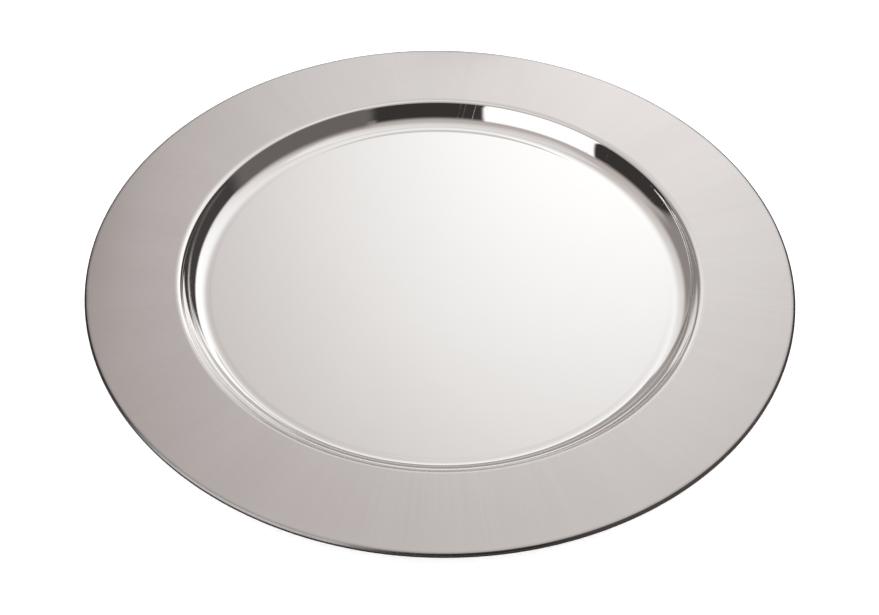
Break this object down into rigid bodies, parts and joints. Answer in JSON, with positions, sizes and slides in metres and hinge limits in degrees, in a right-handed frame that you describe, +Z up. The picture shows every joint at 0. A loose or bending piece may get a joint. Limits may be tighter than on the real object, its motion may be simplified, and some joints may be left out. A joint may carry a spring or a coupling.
{
  "type": "offering plate",
  "caption": "Round shallow stainless steel plate with a broad flat rim, a sloping wall, a flat polished well and a rolled edge closed over a hidden wire ring.",
  "frame": {"origin": "centre of the foot ring's underside, on the surface that the plate stands on", "axes": "+Z up along the plate's axis, out of the well; +X to the right and -Y towards the viewer"},
  "size_m": [0.305, 0.305, 0.012],
  "materials": {
    "polished_steel": "stainless steel, mirror-polished in the well and buffed softer on the rim",
    "wire_steel": "bright drawn steel wire, hidden inside the rolled edge"
  },
  "bodies": {
    "root": {"plate": "polished_steel", "rim_wire": "wire_steel"}
  },
  "joints": []
}
